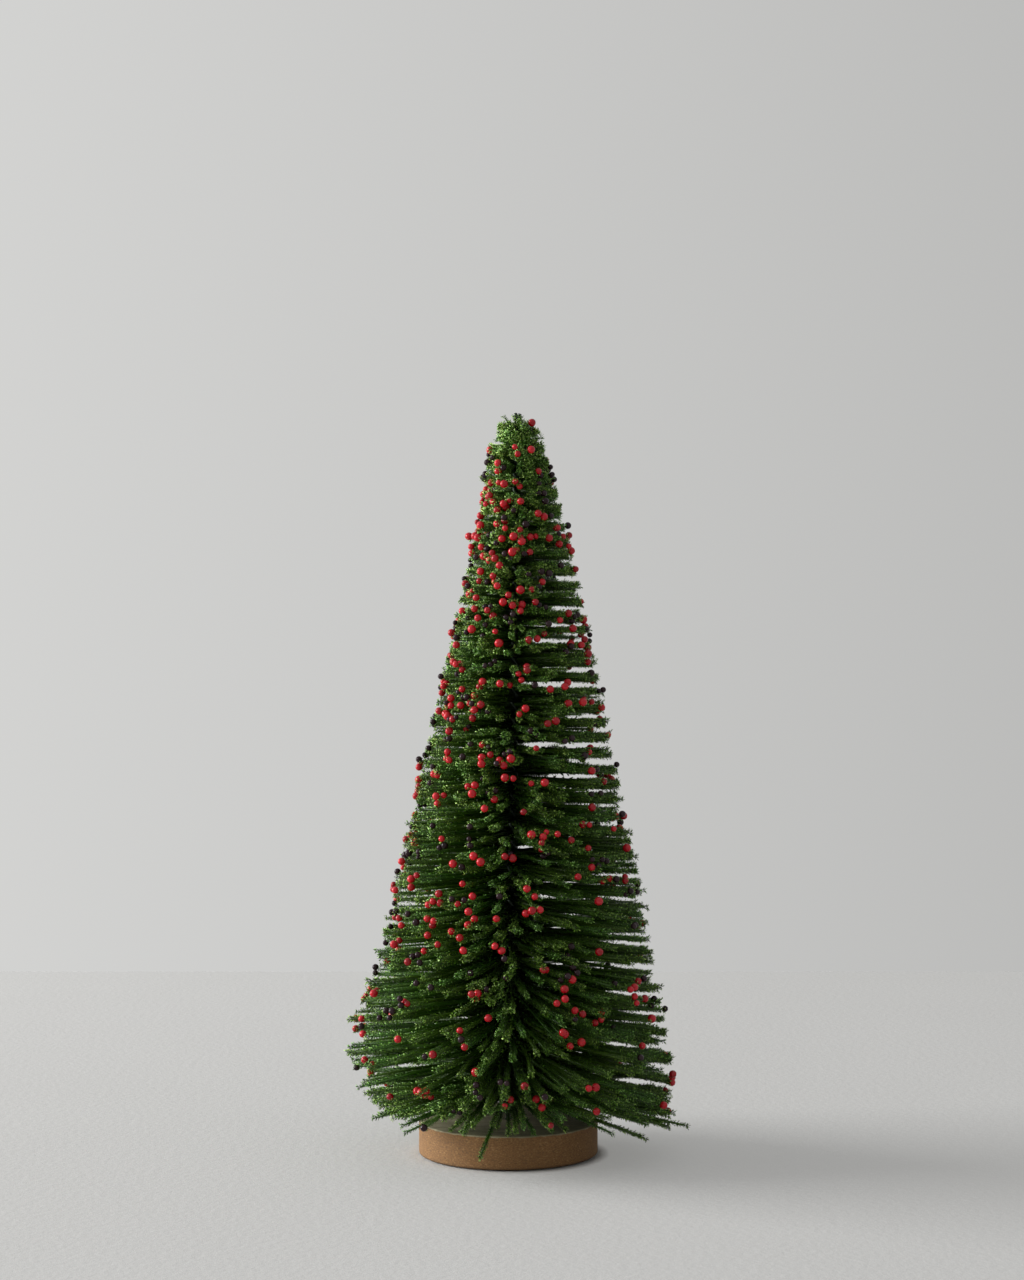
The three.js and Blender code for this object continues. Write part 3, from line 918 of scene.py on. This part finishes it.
def tuft_copies(stems, stem, depth, tufts, random):
    """A tuft at each place along the stems, turned at random."""
    own = chosen(stems, stem)
    share = 1 - depth / own.free
    centre = stem_points(own, share)
    side, upward, forward = stem_axes(own, share)
    roll = random.uniform(0, 2 * math.pi, len(depth))[:, None]
    across = np.cos(roll) * side + np.sin(roll) * upward
    over = np.cross(forward, across)
    size = own.size * random.uniform(*TUFT_SIZES, len(depth))
    size *= np.clip(ROOT_SIZE + share * own.free / FULL_SIZE_REACH, ROOT_SIZE, 1)
    # Painted shade, darker deeper in the brush, and painted light near the top
    light = 1 - DEPTH_LOSS * np.clip(depth / DARK_DEPTH, 0, 1)
    light *= np.interp(cone_share(own.height), *TOP_LIGHT)
    kind = random.integers(0, len(tufts), len(depth))
    parts = []
    for number, (points, corners, tip_share) in enumerate(tufts):
        mine = kind == number
        grown = points[None] * size[mine, None, None]
        copies = centre[mine, None] + (
            grown[..., :1] * across[mine, None]
            + grown[..., 1:2] * over[mine, None]
            + grown[..., 2:] * forward[mine, None]
        )
        needles = (mine.sum(), len(points) // NEEDLE_CORNERS)
        # A few needles get a painted highlight, strongest at the tip
        bright = np.repeat(random.uniform(0, 1, needles) ** BRIGHT_POWER, NEEDLE_CORNERS, 1)
        root_shade, tip_shade = [dull + more * bright for dull, more in (ROOT_SHADE, TIP_SHADE)]
        shade = light[mine, None] * (root_shade + tip_share * tip_shade)
        wobble = np.repeat(random.normal(0, NEEDLE_TINT, needles), NEEDLE_CORNERS, 1)
        tint = 0.5 + TINT_SHARE * (own.tint[mine, None] - 0.5) + wobble
        tint += EDGE_TINT * np.resize([-1, 1], len(points))
        parts.append((copies, corners, map_places(shade, tint)))
    return parts


def close_needles(stems):
    """Depth down to which each stem's needles stand close, and the step between their tufts."""
    share = cone_share(stems.height)
    return np.interp(share, *CLOSE_DEPTHS), CLOSE.length * np.interp(share, *CLOSE_STEPS)


def needle_copies(stems, tufts, random):
    """All the needles of some stems: a star at each tip, close ones behind it and sparse ones deeper."""
    free = stems.free - np.minimum(BARE_ROOT, BARE_ROOT_SHARE * stems.free)
    close, step = close_needles(stems)
    close = np.minimum(close, free)
    tips = np.arange(len(free))
    parts = tuft_copies(stems, tips, np.full(len(free), STAR_DEPTH), tufts["star"], random)
    parts += tuft_copies(stems, *places_along(step, close, step, random), tufts["close"], random)
    step = np.full(len(free), SPARSE.length)
    parts += tuft_copies(stems, *places_along(close + step, free, step, random), tufts["sparse"], random)
    return parts


# Cores, and the foliage as a whole

# Depth, and the radius of a stem's core there. The core ends a little before the needles do.
ROD_RADII = ([0 * MM, 3 * MM, 14 * MM, 30 * MM], [0.42 * MM, 0.62 * MM, 0.74 * MM, 0.95 * MM])
ROD_END = 1.0 * MM
# Painted shade of a core at its root, and the painted light it gains towards its tip
ROD_SHADE = (0.09, 0.15)
# A core's two sides lie a little apart on the map
ROD_SIDE_TINT = 0.004
# Triangles of one needle and of one core, and about the most in one piece of foliage
NEEDLE_FACES = 4
ROD_FACES = 28
BAND_FACES = 160_000


def make_rod():
    """A thin stem along +Z from 0 to 1, in short lengths so that it can be bent."""
    shape = bmesh.new()
    bmesh.ops.create_cone(shape, cap_ends=True, segments=4, radius1=1, radius2=1, depth=1)
    bmesh.ops.translate(shape, verts=shape.verts, vec=(0, 0, 0.5))
    long_edges = [edge for edge in shape.edges if abs(edge.verts[0].co.z - edge.verts[1].co.z) > 0.5]
    bmesh.ops.subdivide_edges(shape, edges=long_edges, cuts=2)
    bmesh.ops.triangulate(shape, faces=shape.faces)
    return shape_corners(shape)


def rod_copies(stems, rod):
    """Every stem's core, bent to its course."""
    points, corners = rod
    own = chosen(stems, (slice(None), None))
    share = points[None, :, 2] * (1 - ROD_END / own.free)
    side, upward, _ = stem_axes(own, share)
    radius = (np.interp((1 - share) * own.free, *ROD_RADII) * own.size)[..., None]
    copies = stem_points(own, share) + radius * (points[:, 0, None] * side + points[:, 1, None] * upward)
    # Painted shade, darkest at the root
    shade = ROD_SHADE[0] + ROD_SHADE[1] * share
    tint = 0.02 + 0.96 * own.tint + ROD_SIDE_TINT * points[:, 0]
    return copies, corners, map_places(shade, tint, 0.01)


def faces_of_stem(stems):
    """About how many triangles each stem has with its needles."""
    close, step = close_needles(stems)
    close = np.minimum(close, stems.free)
    needles = STAR.needles + CLOSE.needles * close / step
    needles += SPARSE.needles * (stems.free - close) / SPARSE.length
    return ROD_FACES + NEEDLE_FACES * needles


def build_foliage(foliage):
    """Makes each foliage node's stems and needles, in bands that climb the trunk."""
    stems = lay_out_stems(foliage)
    random = np.random.default_rng(11)
    tufts = {
        name: [make_tuft(foliage, random, kind) for _ in range(TUFT_SHAPES)]
        for name, kind in (("star", STAR), ("close", CLOSE), ("sparse", SPARSE))
    }
    rod = make_rod()
    material = needle_material(foliage)
    tops = [FOLIAGE_FOOT + share * (FOLIAGE_TOP - FOLIAGE_FOOT) for share in BRUSH_TOP_SHARES[:-1]]
    node_of_stem = np.searchsorted(tops, stems.height)
    for node_number, node in enumerate(BRUSH_NODES):
        some = chosen(stems, node_of_stem == node_number)
        some = chosen(some, np.argsort(some.height))
        # Each node's stems make bands of about as many faces
        faces = np.cumsum(faces_of_stem(some))
        bands = math.ceil(faces[-1] / BAND_FACES)
        band_of_stem = np.minimum((faces * bands / faces[-1]).astype(int), bands - 1)
        for band in range(bands):
            own = chosen(some, band_of_stem == band)
            parts = [rod_copies(own, rod), *needle_copies(own, tufts, random)]
            points, corners, places = joined(parts)
            name = f"{node.replace('brush', 'foliage')}_{band + 1}"
            mesh = mesh_of_copies(name, lean(points), corners, places)
            place_piece(mesh, material, [node])


# Berries

# They hang thinner near the skirt and in the crown, and thickest on the front left
BERRY_SHARES = ([0, 0.1, 0.25, 0.7, 0.85], [0.35, 0.6, 1, 1, 1.12])
BERRY_TOP = FOLIAGE_TOP - 16 * MM
BERRY_FADE = 10 * MM
CROWN_SHARE = 0.03
BERRY_SIDE = math.radians(222)
BACK_WEIGHT = 0.38
SIDE_WEIGHT = 1.5
# Most stand alone and some in twos and threes, mostly of one colour
CLUSTER_COUNTS = [1, 1, 1, 1, 2, 2, 3]
DARK_SHARE = 0.31
OTHER_COLOUR_SHARE = 0.2
# How far the first of a cluster is from its stem's tip, in mm: outwards, sideways and upwards
OUTWARD = (-0.4, 1.9)
SIDEWAYS = 0.8
UPWARD = (-0.8, 2)
# How the next ones lie beside it: how much they spread each way, and how far off they are if 1 is touching
CLUSTER_SPREAD = (0.5, 1.0, 0.6)
CLUSTER_GAPS = (1.0, 1.25)
# They lie no deeper than this behind the tip, and no further out
REACH_LIMITS = (-7 * MM, 2.4 * MM)
OVERLAP_SHARE = 0.05
TRIES = 12
# How much a berry's size and its roundness differ
SIZE_SPREAD = 0.1
SIZE_LIMITS = (0.8, 1.2)
STRETCH = 0.035
# Its place on the bake map: darkest berries to brightest, how much its own two sides differ, and how far its
# top and foot lie from the middle, which sets the painted sheen on the upper side
BERRY_TINTS = (0.04, 0.96)
BERRY_SIDE_TINT = 0.02
BERRY_SHADE = 0.46


def make_ball():
    """A round ball of one unit's radius, from a cube with each side cut in nine."""
    shape = bmesh.new()
    bmesh.ops.create_cube(shape, size=2)
    bmesh.ops.subdivide_edges(shape, edges=shape.edges, cuts=2, use_grid_fill=True)
    for vert in shape.verts:
        # Evens out the squares before they are pushed onto the ball
        vert.co = Vector([math.tan(c * math.pi / 4) for c in vert.co]).normalized()
    bmesh.ops.recalc_face_normals(shape, faces=shape.faces)
    return shape_corners(shape)


def berry_weight(stems):
    """How likely each stem is to carry a cluster."""
    weight = np.interp(cone_share(stems.height), *BERRY_SHARES)
    weight *= np.clip((BERRY_TOP - stems.height) / BERRY_FADE, CROWN_SHARE, 1)
    turn = stems.turn + stems.bend
    weight *= BACK_WEIGHT + SIDE_WEIGHT * ((1 + np.cos(turn - BERRY_SIDE)) / 2) ** 2
    return weight / weight.sum()


def beside(neighbour, radius, outward, sideways, random):
    """A place for the next berry of a cluster, against the centre and radius of the one before."""
    step = random.normal(0, 1, 3) * CLUSTER_SPREAD
    step /= np.linalg.norm(step)
    step = step[0] * outward + step[1] * sideways + step[2] * np.array((0, 0, 1))
    return neighbour[0] + step * (neighbour[1] + radius) * random.uniform(*CLUSTER_GAPS)


def hang_berries(stems, berries, random):
    """Centre, radius and colour of every berry. Those of the CAD model come first, then clusters."""
    centres, radii, dark = [], [], []

    def room_for(centre, radius):
        gaps = np.linalg.norm(np.array(centres) - centre, axis=1) - np.array(radii) - radius
        return gaps.min() > -OVERLAP_SHARE * radius

    for colour, found in cad_berries().items():
        for centre, radius, _ in found:
            centres.append(np.array(centre))
            radii.append(radius)
            dark.append(colour == "dark")
    tips = lean(stem_tips(stems))
    for anchor in random.choice(len(tips), berries.clusters, replace=False, p=berry_weight(stems)):
        tip = tips[anchor]
        outward = np.array((*tip[:2], 0)) / np.linalg.norm(tip[:2])
        sideways = np.cross((0, 0, 1), outward)
        start = tip + outward * random.uniform(*OUTWARD) * MM + sideways * random.normal(0, SIDEWAYS) * MM
        start[2] += random.uniform(*UPWARD) * MM
        is_dark = random.uniform() < DARK_SHARE
        placed = None
        for _ in range(random.choice(CLUSTER_COUNTS)):
            if random.uniform() < OTHER_COLOUR_SHARE:
                is_dark = not is_dark
            diameter = berries.dark_diameter if is_dark else berries.red_diameter
            radius = diameter / 2 * np.clip(random.normal(1, SIZE_SPREAD), *SIZE_LIMITS)
            for _ in range(TRIES):
                centre = beside(placed, radius, outward, sideways, random) if placed else start
                beyond = np.linalg.norm(centre[:2]) - np.linalg.norm(tip[:2])
                if REACH_LIMITS[0] < beyond < REACH_LIMITS[1] and room_for(centre, radius):
                    centres.append(centre)
                    radii.append(radius)
                    dark.append(is_dark)
                    placed = (centre, radius)
                    break
    return np.array(centres), np.array(radii), np.array(dark)


def build_berries(berries, stems):
    """Makes all the red berries as one piece and all the dark ones as another."""
    random = np.random.default_rng(23)
    points, corners = make_ball()
    centres, radii, dark = hang_berries(stems, berries, random)
    nodes = cad_berries()
    looks = {
        "red": berry_material(
            "red_lacquer", berries.red_colour, painted_top_sheen=(0.80, 0.30, 0.34), roughness=0.22, gloss=0.36
        ),
        "dark": berry_material(
            "dark_lacquer", berries.dark_colour, painted_top_sheen=(0.12, 0.07, 0.10), roughness=0.20, gloss=0.24
        ),
    }
    for colour, mine in (("red", ~dark), ("dark", dark)):
        count = mine.sum()
        stretch = 1 + random.uniform(-STRETCH, STRETCH, (count, 1, 3))
        spin = random.normal(0, 1, (count, 4))
        spin /= np.linalg.norm(spin, axis=1, keepdims=True)
        angles = 2 * np.arccos(np.clip(spin[:, 0], -1, 1))
        turns = np.array([Matrix.Rotation(angle, 3, Vector(q[1:])) for angle, q in zip(angles, spin)])
        balls = np.einsum("nij,nvj->nvi", turns, points[None] * stretch)
        copies = centres[mine, None] + balls * radii[mine, None, None]
        tint = random.uniform(*BERRY_TINTS, (count, 1)) + BERRY_SIDE_TINT * balls[..., 0]
        # The height on the berry, which lays the painted sheen on its upper side
        shade = 0.5 + BERRY_SHADE * balls[..., 2]
        mesh = mesh_of_copies(f"berries_{colour}", copies, corners, map_places(shade, tint))
        mesh.polygons.foreach_set("use_smooth", np.ones(len(mesh.polygons), bool))
        place_piece(mesh, looks[colour], [name for *_, name in nodes[colour]])


# The stage

CAMERA_SIDE = 2 * MM
CAMERA_TILT = math.radians(90.12)
LAMP_PLACE = Vector((-3.80, 0.60, 1.30))
LAMP_TARGET = Vector((0, 0, 0.17))
LAMP_SIZE = (3.0, 2.4)
# A part of the floor's brightness is its own, so that the tree's shadow on it stays soft: none of it at the
# board's edge, and all of it far from the tree. Reaches are distances from the trunk.
FLOOR_GLOW = 0.80
FLOOR_GLOW_SHARES = (0.40, 1.0)
FLOOR_GLOW_REACH = (0.9, 1.5)
FLOOR_GLOW_START = (0.0495, 0.056)
FLOOR_EDGE = 3.0
WALL_EDGE = 2.5
WALL_TOP = 3.0
# Painted light: the wall is lighter on the left, towards the lamp, than on the right, and fades between them
# over this far from the trunk
WALL_FADE = (1.10, 0.85)
WALL_FADE_REACH = 0.45


def add_camera(scene, stage):
    """The photo's view."""
    eye = bpy.data.cameras.new("camera")
    eye.lens = stage.lens
    camera = bpy.data.objects.new("camera", eye)
    camera.location = (CAMERA_SIDE, -stage.camera_distance, stage.camera_height)
    camera.rotation_euler = (CAMERA_TILT, 0, 0)
    scene.collection.objects.link(camera)
    scene.camera = camera


def add_lamp(scene, stage):
    """The large soft light on the left."""
    light = bpy.data.lights.new("key_light", "AREA")
    light.shape = "RECTANGLE"
    light.size, light.size_y = LAMP_SIZE
    light.energy = stage.key_power
    lamp = bpy.data.objects.new("key_light", light)
    lamp.location = LAMP_PLACE
    lamp.rotation_mode = "QUATERNION"
    lamp.rotation_quaternion = (LAMP_TARGET - LAMP_PLACE).to_track_quat("-Z", "Y")
    scene.collection.objects.link(lamp)


def seen_directly(tree):
    """1 where the camera sees a thing itself, mirrored in a gloss or through glass."""
    path = add_node(tree, "ShaderNodeLightPath").outputs
    gloss = calculate(tree, "MAXIMUM", path["Is Camera Ray"], path["Is Glossy Ray"])
    return calculate(tree, "MAXIMUM", gloss, path["Is Transmission Ray"])


def light_all_round(scene, stage):
    """An even light from all sides, behind which the camera sees the wall's colour."""
    world = bpy.data.worlds.new("studio")
    world.use_nodes = True
    tree = world.node_tree
    ambient = tree.nodes["Background"]
    feed(tree, ambient, Color=(0.97, 0.98, 1.0, 1), Strength=stage.ambient)
    seen = add_node(tree, "ShaderNodeBackground", Color=(*stage.wall_colour, 1), Strength=1.0)
    show_mix(tree, "World Output", seen_directly(tree), ambient, seen)
    scene.world = world


def add_sheet(name, corners, material):
    """A flat sheet from its four corners."""
    shape = bmesh.new()
    shape.faces.new([shape.verts.new(corner) for corner in corners])
    mesh = bpy.data.meshes.new(name)
    shape.to_mesh(mesh)
    shape.free()
    mesh.materials.append(material)
    sheet = bpy.data.objects.new(name, mesh)
    bpy.context.scene.collection.objects.link(sheet)
    return sheet


def add_floor(stage):
    """A pale floor, rough like a plastered board."""
    material, tree, shader = new_material("pale_floor", roughness=0.85)
    place = object_place(tree)
    patches = span(tree, noise(tree, place, 9, detail=4), 0.35, 0.65, 0, 0.06)
    feed(tree, shader, Base_Color=mix(tree, patches, stage.floor_colour, (0.5, 0.49, 0.47)))
    bump(tree, shader, noise(tree, place, 210, detail=5, roughness=0.6), 1.2 * MM, 0.35)
    glow = add_node(tree, "ShaderNodeEmission", Color=(*shaded(stage.floor_colour, FLOOR_GLOW), 1))
    distance = add_node(tree, "ShaderNodeVectorMath", {"operation": "LENGTH"}, i0=place).outputs["Value"]
    near = span(tree, distance, *FLOOR_GLOW_START)
    far = span(tree, distance, *FLOOR_GLOW_REACH, *FLOOR_GLOW_SHARES)
    share = calculate(tree, "MULTIPLY", seen_directly(tree), calculate(tree, "MULTIPLY", near, far))
    show_mix(tree, "Material Output", share, shader, glow)
    edge = FLOOR_EDGE
    back = stage.wall_distance
    corners = [(-edge, -edge, 0), (edge, -edge, 0), (edge, back, 0), (-edge, back, 0)]
    return add_sheet("floor", corners, material)


def add_wall(stage):
    """A wall that shows from the front only, and keeps no light from the tree."""
    material, tree, shader = new_material("pale_wall", roughness=1.0)
    tree.nodes.remove(shader)
    across = add_node(tree, "ShaderNodeSeparateXYZ", Vector=object_place(tree)).outputs["X"]
    # Painted light, lighter on the left towards the lamp
    left, right = [shaded(stage.wall_colour, factor) for factor in WALL_FADE]
    paint = mix(tree, span(tree, across, -WALL_FADE_REACH, WALL_FADE_REACH), left, right)
    glow = add_node(tree, "ShaderNodeEmission", Color=paint, Strength=1.0)
    clear = add_node(tree, "ShaderNodeBsdfTransparent")
    behind = add_node(tree, "ShaderNodeNewGeometry").outputs["Backfacing"]
    front = calculate(tree, "SUBTRACT", seen_directly(tree), behind, clamp=True)
    show_mix(tree, "Material Output", front, clear, glow)
    edge = WALL_EDGE
    back = stage.wall_distance
    corners = [(-edge, back, 0), (edge, back, 0), (edge, back, WALL_TOP), (-edge, back, WALL_TOP)]
    return add_sheet("wall", corners, material)


# Operators


class TREE_OT_stage(bpy.types.Operator):
    """Sets the camera, the soft studio light, the pale floor and the wall"""

    bl_idname = "tree.stage"
    bl_label = "Stage"

    def execute(self, context):
        scene = context.scene
        stage = scene.tree.stage
        scene.view_settings.view_transform = "Standard"
        add_camera(scene, stage)
        add_lamp(scene, stage)
        light_all_round(scene, stage)
        add_floor(stage)
        add_wall(stage)
        return {"FINISHED"}


class TREE_OT_base(bpy.types.Operator):
    """Makes the fibre-board base, with its trunk hole, and the felt pad under it"""

    bl_idname = "tree.base"
    bl_label = "Base"

    def execute(self, context):
        base = context.scene.tree.base
        shape = bmesh.new()
        raise_disc(shape, BASE_RADIUS, PAD_THICKNESS, BASE_TOP - PAD_THICKNESS, base.segments)
        rims = [edge for edge in shape.edges if abs(edge.verts[0].co.z - edge.verts[1].co.z) < MM / 10]
        bmesh.ops.bevel(
            shape, geom=rims, offset=BASE_EDGE_RADIUS, segments=5, profile=0.5, affect="EDGES", material=-1
        )
        top = max((f for f in shape.faces if f.normal.z > 0.9), key=lambda f: f.calc_area())
        width = BASE_RADIUS - BASE_EDGE_RADIUS
        # One ring between the rim and the hole keeps the top's faces even
        for inner in (width * 0.6, HOLE_RADIUS):
            bmesh.ops.inset_region(shape, faces=[top], thickness=width - inner)
            width = inner
        hole = bmesh.ops.extrude_face_region(shape, geom=[top])["geom"]
        floor = [g for g in hole if isinstance(g, bmesh.types.BMVert)]
        bmesh.ops.delete(shape, geom=[top], context="FACES")
        bmesh.ops.translate(shape, verts=floor, vec=(0, 0, -HOLE_DEPTH))
        mesh = finish_mesh(shape, "base_board", SOFT_ANGLE)
        place_piece(mesh, fibre_board_material(base), ["base_disc"])

        shape = bmesh.new()
        raise_disc(shape, PAD_RADIUS, 0, PAD_THICKNESS, base.segments)
        mesh = finish_mesh(shape, "felt_pad", SOFT_ANGLE)
        place_piece(mesh, felt_material(base), ["base_pad"])
        return {"FINISHED"}


class TREE_OT_trunk(bpy.types.Operator):
    """Makes the two trunk wires, twisted left-handed"""

    bl_idname = "tree.trunk"
    bl_label = "Trunk"

    def execute(self, context):
        trunk = context.scene.tree.trunk
        material = wire_material(trunk)
        climb = math.atan2(TWIST_LEAD, 2 * math.pi * WIRE_OFFSET)
        end_rise = WIRE_RADIUS * math.cos(climb)
        foot = BASE_TOP - HOLE_DEPTH + SEAT_GAP + end_rise
        top = TREE_HEIGHT - end_rise
        turns = (top - foot) / TWIST_LEAD
        steps = math.ceil(turns * trunk.steps_per_turn)
        for name, side in (("trunk_wire_a", 1), ("trunk_wire_b", -1)):
            shape = bmesh.new()
            ring = bmesh.ops.create_circle(
                shape, cap_ends=False, segments=trunk.wire_sides, radius=WIRE_RADIUS
            )["verts"]
            start = turn_at(foot) + side * math.pi / 2
            # The section stands square to the wire, which runs clockwise as it climbs
            moves = (
                Matrix.Rotation(start, 4, "Z")
                @ Matrix.Translation((WIRE_OFFSET, 0, foot))
                @ Matrix.Rotation(math.pi / 2 - climb, 4, "X")
            )
            bmesh.ops.transform(shape, matrix=moves, verts=ring)
            bmesh.ops.spin(
                shape, geom=shape.verts[:] + shape.edges[:], cent=(0, 0, 0), axis=(0, 0, 1),
                dvec=(0, 0, (top - foot) / steps), angle=-2 * math.pi * turns, steps=steps,
                use_merge=False, use_duplicate=False,
            )
            ends = [edge for edge in shape.edges if edge.is_boundary]
            bmesh.ops.holes_fill(shape, edges=ends, sides=trunk.wire_sides)
            tilt = Matrix.Rotation(TRUNK_LEAN, 4, "Y")
            bmesh.ops.rotate(shape, verts=shape.verts, cent=(0, 0, LEAN_PIVOT), matrix=tilt)
            mesh = finish_mesh(shape, name.replace("wire", "strand"), WIRE_SOFT_ANGLE)
            place_piece(mesh, material, [name])
        return {"FINISHED"}


class TREE_OT_foliage(bpy.types.Operator):
    """Grows the needle stems in two spiral sheets"""

    bl_idname = "tree.foliage"
    bl_label = "Foliage"

    def execute(self, context):
        build_foliage(context.scene.tree.foliage)
        return {"FINISHED"}


class TREE_OT_berries(bpy.types.Operator):
    """Hangs the red and dark berries on the stems' tips"""

    bl_idname = "tree.berries"
    bl_label = "Berries"

    def execute(self, context):
        settings = context.scene.tree
        build_berries(settings.berries, lay_out_stems(settings.foliage))
        return {"FINISHED"}


STEPS = ["stage", "base", "trunk", "foliage", "berries"]


class TREE_PT_panel(bpy.types.Panel):
    """Lists the steps that dress the tree and their settings"""

    bl_idname = "TREE_PT_panel"
    bl_label = "Bottle-Brush Tree"
    bl_space_type = "VIEW_3D"
    bl_region_type = "UI"
    bl_category = "Tree"

    def draw(self, context):
        for step in STEPS:
            box = self.layout.box()
            box.operator(f"tree.{step}")
            settings = getattr(context.scene.tree, step)
            for prop in settings.bl_rna.properties:
                if not prop.is_readonly:
                    box.prop(settings, prop.identifier)


CLASSES = [
    BaseSettings, TrunkSettings, FoliageSettings, BerrySettings, StageSettings, TreeSettings,
    TREE_OT_stage, TREE_OT_base, TREE_OT_trunk, TREE_OT_foliage, TREE_OT_berries,
    TREE_PT_panel,
]


def register():
    for cls in CLASSES:
        bpy.utils.register_class(cls)
    bpy.types.Scene.tree = PointerProperty(type=TreeSettings)


def unregister():
    del bpy.types.Scene.tree
    for cls in reversed(CLASSES):
        bpy.utils.unregister_class(cls)


def main():
    register()
    for step in STEPS:
        getattr(bpy.ops.tree, step)()


if __name__ == "__main__":
    main()
